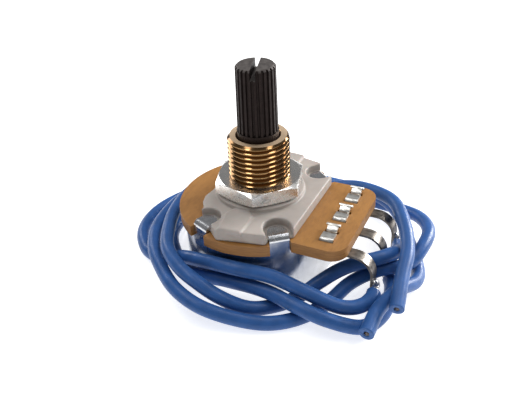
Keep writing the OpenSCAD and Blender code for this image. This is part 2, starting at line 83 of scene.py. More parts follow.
MIDDLE_ROUTE = [
    (22.1, -1.6, 1.4), (22.8, -3.1, 1.4), (23.3, -5.6, 1.3), (23.2, -9.6, 1.1), (21.4, -13.4, 1.6),
    (17, -15.1, 2.8), (12.2, -14.8, 3.4), (7.2, -13.6, 3.4), (2, -13.6, 3.5), (-3.2, -13.5, 3),
    (-7.6, -11.9, 1.6), (-11.8, -8.4, 1.1), (-15.4, -3.6, 1.1), (-16.2, 2.5, 1.1),
    (-14.6, 8.2, 1.1), (-10.4, 12.4, 1.1), (-5, 15, 1.1),
]
REAR_ROUTE = [
    (21.8, 3.9, 4), (22.2, 2.5, 4.4), (22.3, 0.9, 5), (22.1, -0.7, 5.7), (21.2, -2.3, 6),
    (19.3, -3.9, 5.8), (17.2, -5.2, 5.3), (15.3, -6.6, 4.5), (13.2, -8.4, 3.1), (10.9, -10.8, 1.5),
    (8.5, -13.4, 1.1), (5.3, -16, 1.6), (1.5, -17.4, 3.4), (-2.4, -17.3, 5), (-6.2, -16, 5.8),
    (-10, -12.9, 6.1), (-12.8, -8, 6), (-14.7, -2.8, 5.8), (-15.4, 3, 5.6), (-13.6, 9, 5.7),
    (-8.6, 14.4, 5.9), (-2.5, 17.5, 5), (4, 17.7, 4), (10.4, 17.6, 3.8), (16, 16, 3.8),
    (20, 12.4, 3.2), (22.6, 8, 2), (25.3, 3, 1.2), (25.9, -1, 1.7), (24.6, -5.6, 3.4),
    (23.1, -11, 3.7), (22.9, -16.2, 3.4),
]
ROUTES = {"front": FRONT_ROUTE, "middle": MIDDLE_ROUTE, "rear": REAR_ROUTE}


# Sizes and colours that a user may change

class LeadSettings(PropertyGroup):
    """Sizes and colour of the leads"""
    diameter: FloatProperty(name="Insulation diameter", description="Outside diameter of the insulation",
                            default=2.15 * MM, unit="LENGTH", precision=5)
    strand: FloatProperty(name="Strand diameter", description="Diameter of one strand of the core",
                          default=0.27 * MM, unit="LENGTH", precision=5)
    colour: FloatVectorProperty(name="Insulation", description="Colour of the insulation",
                                default=(0.03, 0.103, 0.31), subtype="COLOR", min=0, max=1)


class ThreadSettings(PropertyGroup):
    """The bushing's thread and brass"""
    pitch: FloatProperty(name="Pitch", description="Rise of the bushing's thread in one turn",
                         default=25.4 / 32 * MM, unit="LENGTH", precision=5)
    depth: FloatProperty(name="Depth", description="Depth of the thread below its crests",
                         default=0.47 * MM, unit="LENGTH", precision=5)
    crest: FloatProperty(name="Crest radius", description="Radius of the thread's crests",
                         default=4.7625 * MM, unit="LENGTH", precision=5)
    steps: IntProperty(name="Steps", description="Sides of one turn of the thread", default=72, min=24)
    brass: FloatVectorProperty(name="Brass", description="Colour of the bushing",
                               default=(0.6, 0.36, 0.16), subtype="COLOR", min=0, max=1)


class BodySettings(PropertyGroup):
    """Edges and colours of the housing and the shaft"""
    edge: FloatProperty(name="Broken edge", description="Width of broken edges and grain of the moulding",
                        default=0.12 * MM, unit="LENGTH", precision=5)
    nylon: FloatVectorProperty(name="Nylon", description="Colour of the moulded front plate",
                               default=(0.435, 0.388, 0.354), subtype="COLOR", min=0, max=1)
    board: FloatVectorProperty(name="Resin paper", description="Colour of the element board",
                               default=(0.33, 0.148, 0.034), subtype="COLOR", min=0, max=1)
    shaft: FloatVectorProperty(name="Shaft", description="Colour of the plastic shaft",
                               default=(0.0085, 0.0055, 0.005), subtype="COLOR", min=0, max=1)
    steel: FloatVectorProperty(name="Plated steel", description="Colour of the can and its tabs",
                               default=(0.68, 0.69, 0.71), subtype="COLOR", min=0, max=1)


class StudioSettings(PropertyGroup):
    """Camera and floor"""
    distance: FloatProperty(name="Camera distance", description="From the camera to the nut's top",
                            default=100 * MM, unit="LENGTH")
    azimuth: FloatProperty(name="Azimuth", description="Turn of the camera round the shaft",
                           default=math.radians(26.52), subtype="ANGLE")
    elevation: FloatProperty(name="Elevation", description="Angle of the camera over the floor",
                             default=math.radians(30.31), subtype="ANGLE")
    yaw: FloatProperty(name="Yaw", description="Aim of the camera to the right of the nut",
                       default=math.radians(-0.46), subtype="ANGLE")
    pitch: FloatProperty(name="Pitch", description="Aim of the camera above the nut",
                         default=math.radians(-2.94), subtype="ANGLE")
    roll: FloatProperty(name="Roll", description="Turn of the camera about its own axis",
                        default=math.radians(-2.73), subtype="ANGLE")
    lens: FloatProperty(name="Lens", description="Focal length on a 36 mm sensor", default=44.97)
    floor: FloatVectorProperty(name="Floor", description="Colour of the floor",
                               default=(0.7, 0.7, 0.7), subtype="COLOR", min=0, max=1)
    glow: FloatProperty(name="Floor glow", description="Light that comes through the floor",
                        default=0.74, min=0)


# Shared steps of the modelling

def deselect():
    """Leaves edit mode and deselects everything."""
    if bpy.context.object and bpy.context.object.mode != "OBJECT":
        bpy.ops.object.mode_set(mode="OBJECT")
    bpy.ops.object.select_all(action="DESELECT")


def only(obj):
    """Makes obj the one selected and active object."""
    deselect()
    obj.select_set(True)
    bpy.context.view_layer.objects.active = obj
    return obj


def started(name):
    """Names the primitive that an operator has just added and opens it for editing."""
    obj = bpy.context.object
    obj.name = obj.data.name = name
    bpy.ops.object.mode_set(mode="EDIT")
    bpy.ops.mesh.select_all(action="SELECT")
    return obj


def pick(obj, test):
    """Selects the vertices in edit mode whose place passes a test."""
    bpy.ops.mesh.select_mode(type="VERT")
    bpy.ops.mesh.select_all(action="DESELECT")
    mesh = bmesh.from_edit_mesh(obj.data)
    chosen = [vertex for vertex in mesh.verts if test(vertex.co)]
    if not chosen:
        raise RuntimeError("nothing to shape was found on " + obj.name)
    for vertex in chosen:
        vertex.select_set(True)
    mesh.select_flush_mode()
    bmesh.update_edit_mesh(obj.data)


def applied(obj, kind, **values):
    """Adds a modifier to obj and applies it."""
    only(obj)
    step = obj.modifiers.new(kind.title(), kind)
    for key, value in values.items():
        setattr(step, key, value)
    bpy.ops.object.modifier_apply(modifier=step.name)
    return obj


def settled(obj, angle=35):
    """Puts a finished piece's place into its mesh and smooths its gentle edges."""
    only(obj)
    bpy.ops.object.transform_apply(location=True, rotation=True, scale=True)
    bpy.ops.object.shade_smooth_by_angle(angle=math.radians(angle))
    deselect()
    return obj


def turned(name, profile, sides=144):
    """Closed solid turned round Z: a circle extruded and scaled from ring to ring of (radius, height)."""
    deselect()
    r, z = profile[0]
    bpy.ops.mesh.primitive_circle_add(vertices=sides, radius=r, location=(0, 0, z), fill_type="NOTHING")
    obj = started(name)
    for (r0, z0), (r1, z1) in zip(profile, profile[1:] + profile[:1]):
        bpy.ops.mesh.extrude_edges_move(TRANSFORM_OT_translate={"value": (0, 0, z1 - z0)})
        bpy.ops.transform.resize(value=(r1 / r0, r1 / r0, 1), center_override=(0, 0, z1))
    bpy.ops.mesh.select_all(action="SELECT")
    bpy.ops.mesh.remove_doubles(threshold=MERGE)
    bpy.ops.mesh.normals_make_consistent(inside=False)
    bpy.ops.object.mode_set(mode="OBJECT")
    return obj


def copied(node, name, flat=False):
    """Copy of a CAD node with its loose triangles joined and, if asked, its flat faces made whole."""
    obj = bpy.data.objects.new(name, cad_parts[node].data.copy())
    bpy.context.scene.collection.objects.link(obj)
    only(obj)
    bpy.ops.object.mode_set(mode="EDIT")
    bpy.ops.mesh.select_all(action="SELECT")
    bpy.ops.mesh.remove_doubles(threshold=MERGE)
    if flat:
        bpy.ops.mesh.dissolve_limited(angle_limit=math.radians(1))
    bpy.ops.object.mode_set(mode="OBJECT")
    if obj.data.has_custom_normals:
        bpy.ops.mesh.customdata_custom_splitnormals_clear()
    return obj


def softened(node, name, width, material, angle):
    """Copy of a CAD node whose edges over an angle are broken."""
    obj = copied(node, name, flat=True)
    applied(obj, "BEVEL", width=width, segments=2, limit_method="ANGLE",
            angle_limit=math.radians(angle), use_clamp_overlap=True)
    placed(obj, material, (node,))
    applied(obj, "WEIGHTED_NORMAL", mode="FACE_AREA", weight=50, keep_sharp=True)
    deselect()
    return obj


def moulded(node, name, grain, rounds, material):
    """Copy of a CAD node remeshed and smoothed, as a moulding whose edges all run out softly."""
    obj = copied(node, name)
    applied(obj, "REMESH", mode="VOXEL", voxel_size=grain, adaptivity=0)
    applied(obj, "SMOOTH", factor=0.5, iterations=rounds)
    return placed(obj, material, (node,), angle=80)


def placed(obj, material, nodes=(), angle=35):
    """Finishes a piece of the housing: its material and the solids that it stands for."""
    settled(obj, angle)
    obj.data.materials.clear()
    obj.data.materials.append(material)
    for polygon in obj.data.polygons:
        polygon.material_index = 0
    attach(obj, "housing")
    if nodes:
        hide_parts(*nodes)
    return obj


# Materials

class Finish:
    """A material under construction, with its shader and the object's own coordinates."""

    def __init__(self, name, colour, metallic=0.0, roughness=0.5, **sockets):
        self.material = bpy.data.materials.new(name)
        self.material.use_nodes = True
        self.tree = self.material.node_tree
        self.shader = self.tree.nodes["Principled BSDF"]
        self.shader.inputs["Base Color"].default_value = (*colour, 1)
        self.shader.inputs["Metallic"].default_value = metallic
        self.shader.inputs["Roughness"].default_value = roughness
        for key, value in sockets.items():
            self.shader.inputs[key.replace("_", " ")].default_value = value
        self.coords = self.node("ShaderNodeTexCoord").outputs["Object"]

    def node(self, kind, **values):
        """A new node with those settings."""
        made = self.tree.nodes.new(kind)
        for key, value in values.items():
            setattr(made, key, value)
        return made

    def link(self, a, b):
        """Joins an output to an input."""
        self.tree.links.new(a, b)

    def stretched(self, scale):
        """The object's coordinates, scaled along each axis."""
        mapping = self.node("ShaderNodeMapping")
        mapping.inputs["Scale"].default_value = scale
        self.link(self.coords, mapping.inputs["Vector"])
        return mapping.outputs["Vector"]

    def noise(self, per_mm, detail, rough=0.5, coords=None, distortion=0.0):
        """Noise with that many grains to the millimetre."""
        made = self.node("ShaderNodeTexNoise")
        made.inputs["Scale"].default_value = per_mm * 1000
        made.inputs["Detail"].default_value = detail
        made.inputs["Roughness"].default_value = rough
        made.inputs["Distortion"].default_value = distortion
        self.link(coords or self.coords, made.inputs["Vector"])
        return made.outputs["Fac"]

    def cells(self, per_mm):
        """Distance within cells, that many to the millimetre."""
        made = self.node("ShaderNodeTexVoronoi")
        made.inputs["Scale"].default_value = per_mm * 1000
        self.link(self.coords, made.inputs["Vector"])
        return made.outputs["Distance"]

    def height(self):
        """Height of the place over the floor."""
        split = self.node("ShaderNodeSeparateXYZ")
        self.link(self.coords, split.inputs["Vector"])
        return split.outputs["Z"]

    def upward(self):
        """How far the surface faces up, from -1 to 1."""
        split = self.node("ShaderNodeSeparateXYZ")
        self.link(self.node("ShaderNodeNewGeometry").outputs["Normal"], split.inputs["Vector"])
        return split.outputs["Z"]

    def falling(self, value, low, high):
        """One up to low, falling to none at high."""
        made = self.node("ShaderNodeMapRange")
        for key, end in (("From Min", low), ("From Max", high), ("To Min", 1), ("To Max", 0)):
            made.inputs[key].default_value = end
        self.link(value, made.inputs["Value"])
        return made.outputs["Result"]

    def maths(self, operation, a, b=0.0):
        """Result for the socket a and b, which is a socket or a value."""
        made = self.node("ShaderNodeMath", operation=operation)
        self.link(a, made.inputs[0])
        if hasattr(b, "is_output"):
            self.link(b, made.inputs[1])
        else:
            made.inputs[1].default_value = b
        return made.outputs["Value"]

    def ramp(self, value, *stops):
        """Grey or colour ramp with (place, colour) stops."""
        made = self.node("ShaderNodeValToRGB")
        bar = made.color_ramp.elements
        while len(bar) < len(stops):
            bar.new(0.5)
        for end, (place, colour) in zip(bar, stops):
            end.position = place
            end.color = (*colour, 1) if hasattr(colour, "__len__") else (colour, colour, colour, 1)
        self.link(value, made.inputs["Fac"])
        return made.outputs["Color"]

    def mixed(self, factor, a, b):
        """Two colours mixed by a factor's socket; a and b are sockets or colours."""
        made = self.node("ShaderNodeMix", data_type="RGBA")
        for key, value in (("Factor", factor), ("A", a), ("B", b)):
            socket = [s for s in made.inputs if s.name == key and s.enabled][0]
            if hasattr(value, "is_output"):
                self.link(value, socket)
            else:
                socket.default_value = (*value, 1)
        return [s for s in made.outputs if s.enabled][0]

    def bump(self, height, depth_mm, strength, over=None):
        """Relief of that depth, laid over an earlier one."""
        made = self.node("ShaderNodeBump")
        made.inputs["Strength"].default_value = strength
        made.inputs["Distance"].default_value = depth_mm * MM
        self.link(height, made.inputs["Height"])
        if over is not None:
            self.link(over, made.inputs["Normal"])
        self.link(made.outputs["Normal"], self.shader.inputs["Normal"])
        return made.outputs["Normal"]

    def colour(self, socket):
        """Sets what colours the surface."""
        self.link(socket, self.shader.inputs["Base Color"])

    def roughness(self, socket):
        """Sets what dulls the surface."""
        self.link(socket, self.shader.inputs["Roughness"])


def tinted(colour, *factors):
    """A colour made lighter or darker, by one factor or by one for each channel."""
    return tuple(min(1.0, c * k) for c, k in zip(colour, factors * 3 if len(factors) == 1 else factors))


def insulation_finish(colour):
    """Soft extruded PVC: satin skin, slightly uneven, with dust."""
    f = Finish("blue_insulation", colour, roughness=0.36, Specular_IOR_Level=0.26)
    cloud = f.noise(0.5, 3)
    speck = f.noise(9, 2)
    shade = f.ramp(cloud, (0.3, tinted(colour, 0.86)), (0.7, tinted(colour, 1.14)))
    dust = f.ramp(speck, (0.62, 0.0), (0.8, 0.35))
    f.colour(f.mixed(dust, shade, tinted(colour, 1.9)))
    f.roughness(f.ramp(f.noise(2.2, 3), (0.35, 0.3), (0.7, 0.46)))
    relief = f.bump(f.noise(1.1, 3), 0.03, 0.5)
    f.bump(f.noise(7, 2), 0.006, 0.5, over=relief)
    return f.material


def cut_face_finish(colour):
    """Sheared end of the insulation, duller and lighter than its skin."""
    f = Finish("cut_insulation", colour, roughness=0.62)
    f.colour(f.ramp(f.noise(4, 4), (0.3, tinted(colour, 0.8)), (0.75, tinted(colour, 1.35))))
    f.bump(f.noise(6, 4), 0.02, 0.8)
    return f.material


def strand_finish(name, colour, dull):
    """Drawn wire with streaks along its length."""
    f = Finish(name, colour, metallic=1.0, roughness=0.35)
    f.colour(f.ramp(f.noise(3, 4), (0.3, tinted(colour, dull)), (0.7, colour)))
    f.roughness(f.ramp(f.noise(5, 3), (0.3, 0.28), (0.7, 0.5)))
    f.bump(f.noise(8, 3), 0.006, 0.6)
    return f.material


def solder_finish():
    """Bright solder with a grained, slightly dull skin."""
    colour = (0.62, 0.62, 0.63)
    f = Finish("solder_bright", colour, metallic=1.0, roughness=0.28)
    f.colour(f.ramp(f.noise(2.4, 4), (0.35, tinted(colour, 0.7)), (0.65, colour)))
    f.roughness(f.ramp(f.noise(3.5, 4), (0.35, 0.18), (0.75, 0.45)))
    relief = f.bump(f.noise(1.6, 2), 0.05, 0.6)
    f.bump(f.cells(6), 0.008, 0.5, over=relief)
    return f.material


def brass_finish(colour, crest, depth):
    """Turned brass: warm streaks round the thread, painted shade with some tarnish in its roots and over
    most of its flanks, and a painted highlight on the faced end, which is also duller.
    """
    f = Finish("turned_brass", colour, metallic=1.0, roughness=0.24)
    streak = f.noise(0.9, 3, coords=f.stretched((0.5, 0.5, 4)))
    patch = f.ramp(f.noise(0.3, 4), (0.45, 0.0), (0.75, 0.35))
    warm = f.ramp(streak, (0.3, tinted(colour, 0.72)), (0.7, tinted(colour, 1.12)))
    dull = f.mixed(patch, warm, tinted(colour, 0.62, 0.45, 0.4))
    length = f.node("ShaderNodeVectorMath", operation="LENGTH")
    f.link(f.stretched((1, 1, 0)), length.inputs[0])
    radius = length.outputs["Value"]
    # Painted shade with some tarnish: roots and most of the flanks are darkened to about 0.3, standing in
    # for the shade and dark reflections between the turns.
    root = f.falling(radius, crest - 0.25 * depth, crest - 0.03 * depth)
    outside = f.maths("GREATER_THAN", radius, crest - 1.1 * depth)
    root_painted_shade = f.mixed(f.maths("MULTIPLY", root, outside), dull, tinted(colour, 0.3, 0.28, 0.27))
    # Painted highlight: faces that look up get a paler brass colour as if lit; the higher roughness that
    # this mask also sets is the faced end's real finish.
    end = f.ramp(f.upward(), (0.9, 0.0), (0.97, 1.0))
    f.colour(f.mixed(end, root_painted_shade, (0.86, 0.66, 0.46)))
    skin = f.ramp(f.noise(1.2, 2), (0.3, 0.12), (0.75, 0.18))
    f.roughness(f.mixed(end, skin, (0.52, 0.52, 0.52)))
    f.bump(f.noise(1.5, 2, coords=f.stretched((1, 1, 3))), 0.001, 0.3)
    return f.material


def nickel_finish():
    """Nickel plate, mottled grey where it has been handled."""
    colour = (0.88, 0.86, 0.83)
    handled = (0.8, 0.78, 0.75)
    dull = (0.6, 0.58, 0.56)
    f = Finish("nickel_plate", colour, metallic=1.0, roughness=0.25)
    mottle = f.noise(1.1, 5, 0.6, distortion=0.6)
    f.colour(f.ramp(mottle, (0.3, dull), (0.42, handled), (0.54, colour)))
    f.roughness(f.ramp(mottle, (0.35, 0.32), (0.65, 0.2)))
    relief = f.bump(f.noise(1.2, 3), 0.006, 0.5)
    f.bump(f.noise(5, 2), 0.0015, 0.5, over=relief)
    return f.material


def plated_steel_finish(colour):
    """Tin-plated sheet: nearly a mirror, with faint drawing lines and clouds."""
    f = Finish("plated_steel", colour, metallic=1.0, roughness=0.14)
    drawn = f.noise(0.9, 3, coords=f.stretched((1.6, 1.6, 0.3)))
    cloud = f.noise(0.3, 4)
    f.colour(f.ramp(cloud, (0.3, tinted(colour, 0.8)), (0.7, tinted(colour, 1.05))))
    f.roughness(f.ramp(drawn, (0.3, 0.18), (0.75, 0.28)))
    f.bump(f.noise(0.15, 2), 0.02, 0.4)
    return f.material


def tinned_finish():
    """Hot-tinned brass strip: bright and streaked, with a painted dark reflection that browns its lower
    part, up to just above the can's top.
    """
    colour = (0.74, 0.73, 0.7)
    f = Finish("tinned_strip", colour, metallic=1.0, roughness=0.22)
    streak = f.noise(0.9, 3, coords=f.stretched((1, 2, 1)))
    fresh = f.ramp(streak, (0.3, (0.5, 0.48, 0.44)), (0.6, colour))
    # Painted reflection: up to 0.6 mm over the can's top the strip is fully browned, fading out by 1.6 mm,
    # as if it mirrored dark surroundings.
    low_painted_reflection = f.ramp(streak, (0.3, (0.1, 0.088, 0.075)), (0.6, (0.24, 0.215, 0.19)))
    low = f.falling(f.height(), CAN_TOP + 0.6 * MM, CAN_TOP + 1.6 * MM)
    f.colour(f.mixed(low, fresh, low_painted_reflection))
    f.roughness(f.ramp(f.noise(1.4, 3), (0.3, 0.3), (0.75, 0.44)))
    relief = f.bump(f.noise(0.7, 2), 0.02, 0.5)
    f.bump(f.noise(4, 2), 0.0015, 0.5, over=relief)
    return f.material


def nylon_finish(colour):
    """Moulded nylon: milky, with a fine skin and slight handling marks."""
    f = Finish("moulded_nylon", colour, roughness=0.5, Specular_IOR_Level=0.36, Subsurface_Weight=0.12,
               Subsurface_Scale=0.4 * MM)
    cloud = f.noise(0.22, 4, 0.6)
    tone = f.ramp(cloud, (0.3, tinted(colour, 0.88)), (0.7, tinted(colour, 1.06)))
    mark = f.ramp(f.noise(1.4, 6, 0.7), (0.6, 0.0), (0.85, 0.3))
    f.colour(f.mixed(mark, tone, tinted(colour, 0.68)))
    f.roughness(f.ramp(f.noise(1.1, 4), (0.3, 0.42), (0.75, 0.62)))
    relief = f.bump(f.noise(0.5, 3), 0.03, 0.4)
    f.bump(f.noise(8, 3), 0.006, 0.6, over=relief)
    return f.material


def resin_paper_finish(colour):
    """Resin-bonded paper: brown sheet with fibres, and thin plies on its cut edge."""
    f = Finish("resin_paper", colour, roughness=0.48)
    fibre = f.noise(2.6, 6, 0.7, coords=f.stretched((1, 0.35, 1)))
    patch = f.ramp(f.noise(0.3, 4), (0.4, 0.0), (0.75, 0.45))
    ply = f.noise(7, 2, coords=f.stretched((0.08, 0.08, 1)))
    sheet = f.ramp(fibre, (0.3, tinted(colour, 0.8)), (0.7, tinted(colour, 1.22)))
    sheet = f.mixed(patch, sheet, tinted(colour, 1.25, 1.32, 1.3))
    edge = f.ramp(ply, (0.3, tinted(colour, 0.75)), (0.7, tinted(colour, 1.2)))
    level = f.ramp(f.maths("ABSOLUTE", f.upward()), (0.35, 0.0), (0.6, 1.0))
    f.colour(f.mixed(level, edge, sheet))
    f.roughness(f.ramp(fibre, (0.3, 0.4), (0.75, 0.6)))
    relief = f.bump(fibre, 0.012, 0.5)
    f.bump(ply, 0.012, 0.4, over=relief)
    return f.material


def acetal_finish(colour):
    """Black moulded plastic: satin, paler where the cut tip catches light."""
    f = Finish("black_acetal", colour, roughness=0.5, Specular_IOR_Level=0.22,
               Specular_Tint=(1, 0.8, 0.75, 1))
    skin = f.ramp(f.noise(0.7, 4), (0.3, tinted(colour, 0.7)), (0.7, tinted(colour, 1.6)))
    cut = f.ramp(f.noise(1.6, 4, 0.6), (0.3, (0.045, 0.04, 0.038)), (0.7, (0.115, 0.105, 0.1)))
    level = f.ramp(f.upward(), (0.3, 0.0), (0.75, 1.0))
    high = f.maths("GREATER_THAN", f.height(), BUSHING_TOP + 2 * MM)
    f.colour(f.mixed(f.maths("MULTIPLY", level, high), skin, cut))
    f.roughness(f.ramp(f.noise(1.6, 4), (0.3, 0.42), (0.75, 0.62)))
    relief = f.bump(f.noise(0.8, 3), 0.02, 0.5)
    f.bump(f.noise(9, 3), 0.005, 0.6, over=relief)
    return f.material


def punched_laminate_finish():
    """Dark punched laminate of the rotor."""
    colour = (0.16, 0.08, 0.035)
    f = Finish("rotor_laminate", colour, roughness=0.6)
    fibre = f.noise(2.2, 5, 0.7)
    f.colour(f.ramp(fibre, (0.3, tinted(colour, 0.7)), (0.7, tinted(colour, 1.3))))
    f.bump(fibre, 0.02, 0.6)
    return f.material


def film_finish(name, colour, metallic):
    """Screen-printed film with a grained surface."""
    f = Finish(name, colour, metallic=metallic, roughness=0.55)
    grain = f.noise(6, 4)
    f.colour(f.ramp(grain, (0.3, tinted(colour, 0.75)), (0.7, tinted(colour, 1.25))))
    f.roughness(f.ramp(f.noise(2, 3), (0.3, 0.4), (0.7, 0.65)))
    f.bump(grain, 0.006, 0.5)
    return f.material


def spring_finish(name, colour):
    """Rolled spring sheet with lines along the roll."""
    f = Finish(name, colour, metallic=1.0, roughness=0.35)
    rolled = f.noise(2, 4, coords=f.stretched((6, 0.6, 1)))
    f.colour(f.ramp(rolled, (0.3, tinted(colour, 0.75)), (0.7, colour)))
    f.roughness(f.ramp(rolled, (0.3, 0.25), (0.7, 0.45)))
    f.bump(rolled, 0.004, 0.5)
    return f.material


# Leads

def smooth_route(route, per_span=8):
    """Points of one smooth curve through the route, in metres."""
    p = [Vector(v) * MM for v in route]
    p = [2 * p[0] - p[1]] + p + [2 * p[-1] - p[-2]]
    line = []
    for a, b, c, d in zip(p, p[1:], p[2:], p[3:]):
        for k in range(per_span):
            t = k / per_span
            line.append(0.5 * (2 * b + (c - a) * t + (2 * a - 5 * b + 4 * c - d) * t ** 2
                               + (3 * b - a - 3 * c + d) * t ** 3))
    return line + [p[-2]]


def tube(name, line, radius, rounds):
    """Curve with a round section along a line of points."""
    curve = bpy.data.curves.new(name, "CURVE")
    curve.dimensions = "3D"
    curve.bevel_depth = radius
    curve.bevel_resolution = rounds
    curve.use_fill_caps = True
    spline = curve.splines.new("POLY")
    spline.points.add(len(line) - 1)
    for point, place in zip(spline.points, line):
        point.co = (*place, 1)
    spline.use_smooth = True
    obj = bpy.data.objects.new(name, curve)
    bpy.context.scene.collection.objects.link(obj)
    return obj


def turn_to(direction):
    """Rotation that brings +Z to a direction."""
    return direction.to_track_quat("Z", "Y").to_matrix().to_4x4()


def stranded_core(name, start, direction, length, strand, material, nodes=()):
    """Seven strands twisted together, from a point along a direction."""
    steps = 28
    twist = math.radians(100) / MM
    ring = strand * 0.98
    place = Matrix.Translation(start) @ turn_to(direction)
    parts = []
    for i in range(7):
        out = ring if i else 0
        line = []
        for k in range(steps + 1):
            s = length * k / steps
            a = math.tau * i / 6 + twist * s
            line.append(place @ Vector((out * math.cos(a), out * math.sin(a), s)))
        parts.append(tube(name, line, strand / 2, 2))
    deselect()
    for part in parts:
        part.select_set(True)
    bpy.context.view_layer.objects.active = parts[0]
    bpy.ops.object.convert(target="MESH")
    bpy.ops.object.join()
    obj = bpy.context.object
    obj.name = obj.data.name = name
    return placed(obj, material, nodes, angle=60)


def cut_end(name, tip, direction, radius, face, material):
    """Sheared end of the insulation, with a hollow round the core's strands."""
    rim = 0.1 * MM
    hollow = 0.4 * MM
    depth = 0.5 * MM
    inside = radius - rim
    obj = turned(name, [(inside, -depth), (inside, -1.6 * rim), (radius, -1.5 * rim), (radius, -rim),
                        (radius - rim * 0.35, -rim * 0.3), (inside, 0), (hollow * 1.35, 0.02 * MM),
                        (hollow, -0.1 * MM), (hollow * 0.95, -depth)], sides=48)
    obj.matrix_world = Matrix.Translation(tip) @ turn_to(direction) @ obj.matrix_basis
    placed(obj, material, angle=50)
    obj.data.materials.append(face)
    # Least cosine to the lead's direction of a face that the shears made
    sheared = 0.6
    for polygon in obj.data.polygons:
        if polygon.normal.dot(direction) > sheared:
            polygon.material_index = 1
    return obj


class POT_OT_leads(Operator):
    """Lays the three leads along their routes and finishes their cut ends"""
    bl_idname = "pot.leads"
    bl_label = "Leads"

    def execute(self, context):
        s = context.scene.pot_leads
        skin = insulation_finish(s.colour)
        face = cut_face_finish(s.colour)
        # Painted shade: the copper strands are coloured a near-black grey, far darker than copper, standing
        # in for the shade in the cut end's hollow.
        core_in_painted_shade = strand_finish("cut_core_painted_shade", (0.14, 0.12, 0.115), 0.45)
        # The tube stops within the cut end, and the strands show in its hollow
        setback = 0.15 * MM
        core_foot = 0.45 * MM
        core_length = 0.36 * MM
        rounds = 10
        for key, route in ROUTES.items():
            line = smooth_route(route)
            tip, aim = line[-1], (line[-1] - line[-2]).normalized()
            line_in = line[:-1] + [tip - aim * setback]
            lead = tube("lead_%s_insulation" % key, line_in, s.diameter / 2, rounds)
            lead.data.materials.append(skin)
            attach(lead, "housing")
            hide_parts("lead_" + key)
            end = cut_end("lead_%s_cut_end" % key, tip, aim, s.diameter / 2, face, skin)
            core = stranded_core("lead_%s_cut_core" % key, tip - aim * core_foot, aim, core_length,
                                 s.strand, core_in_painted_shade)
        return {"FINISHED"}


class POT_OT_joints(Operator):
    """Twists the bare cores and covers them with solder on the lugs"""
    bl_idname = "pot.joints"
    bl_label = "Soldered joints"

    def execute(self, context):
        s = context.scene.pot_leads
        tinned = strand_finish("tinned_strands", (0.6, 0.57, 0.53), 0.7)
        solder = solder_finish()
        off_lug = 0.5 * MM
        overlap = 0.15 * MM
        squash = (0.78, 0.86, 0.98)
        # Solder drawn out along the core: where that starts, how far it goes and how softly
        drawn_from = 0.45 * MM
        drawn_by = 0.14 * MM
        drawn_over = 0.9 * MM
        unevenness = 0.05 * MM
        for seed, key in enumerate(ROUTES, start=2):
            low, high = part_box("solder_" + key)
            middle = (low + high) / 2
            seat = (LUG_FACE, middle.y, middle.z)
            start = Vector((LUG_FACE + off_lug, middle.y, middle.z))
            reach = Vector(ROUTES[key][0]) * MM - start
            aim = reach.normalized()
            stranded_core("core_%s_strands" % key, start, aim, reach.length + overlap,
                          s.strand, tinned, ("core_" + key,))
            deselect()
            bpy.ops.mesh.primitive_ico_sphere_add(subdivisions=4, radius=(high.y - low.y) / 2, location=seat)
            blob = started("solder_%s_joint" % key)
            bpy.ops.transform.resize(value=squash, center_override=seat)
            pick(blob, lambda co: (blob.matrix_world @ co - start).dot(aim) > drawn_from)
            bpy.ops.transform.translate(value=tuple(aim * drawn_by), use_proportional_edit=True,
                                        proportional_size=drawn_over, proportional_edit_falloff="SMOOTH")
            bpy.ops.mesh.select_all(action="SELECT")
            bpy.ops.transform.vertex_random(offset=unevenness, uniform=0.3, normal=0.8, seed=seed)
            bpy.ops.mesh.vertices_smooth(factor=0.6, repeat=3)
            bpy.ops.mesh.bisect(plane_co=seat, plane_no=(-1, 0, 0), use_fill=True, clear_outer=True,
                                threshold=FINE)
            bpy.ops.object.mode_set(mode="OBJECT")
            placed(blob, solder, ("solder_" + key,), angle=60)
        return {"FINISHED"}


# Bushing, nut and shaft

def thread(name, crest, depth, pitch, steps, low, high):
    """Solid rod with a helical thread, cut flat at two heights."""
    # Share of the depth and shift along the rod of each point between two roots
    profile = ((0, 0), (0.3, 0), (0.66, 0), (1, 1), (1, -1), (0.66, 0), (0.3, 0))
    sections = len(profile) + 1
    deselect()
    bpy.ops.mesh.primitive_plane_add(size=pitch, location=(crest - depth, 0, low - pitch),
                                     rotation=(math.pi / 2, 0, 0))
    bpy.ops.object.transform_apply(location=True, rotation=True, scale=True)
    rod = started(name)
    pick(rod, lambda co: co.x > crest - depth)
    bpy.ops.mesh.delete(type="VERT")
    bpy.ops.mesh.select_all(action="SELECT")
    bpy.ops.mesh.subdivide(number_cuts=len(profile))
    foot = low - 1.5 * pitch
    for k, (share, shift) in enumerate(profile, start=1):
        pick(rod, lambda co: abs(co.z - foot - k * pitch / sections) < pitch / 40)
        bpy.ops.transform.translate(value=(depth * share, 0, shift * pitch / 32))
    bpy.ops.mesh.select_all(action="SELECT")
    bpy.ops.transform.translate(value=(pitch / 2, 0, 0))
    bpy.ops.object.mode_set(mode="OBJECT")
    turns = math.ceil((high - low) / pitch) + 3
    applied(rod, "SCREW", axis="Z", angle=math.tau, screw_offset=pitch, iterations=turns,
            steps=steps, render_steps=steps, use_merge_vertices=True, merge_threshold=MERGE)
    bpy.ops.object.mode_set(mode="EDIT")
    bpy.ops.mesh.select_all(action="SELECT")
    bpy.ops.mesh.remove_doubles(threshold=MERGE)
    for level, way in ((low, -1), (high, 1)):
        bpy.ops.mesh.select_all(action="SELECT")
        bpy.ops.mesh.bisect(plane_co=(0, 0, level), plane_no=(0, 0, way), use_fill=True, clear_outer=True,
                            threshold=FINE)
    bpy.ops.mesh.select_all(action="SELECT")
    bpy.ops.mesh.normals_make_consistent(inside=False)
    bpy.ops.object.mode_set(mode="OBJECT")
    return rod


def combined(obj, tool, operation):
    """Boolean of two solids; the tool is removed."""
    applied(obj, "BOOLEAN", object=tool, operation=operation, solver="EXACT")
    bpy.data.objects.remove(tool)
    return obj


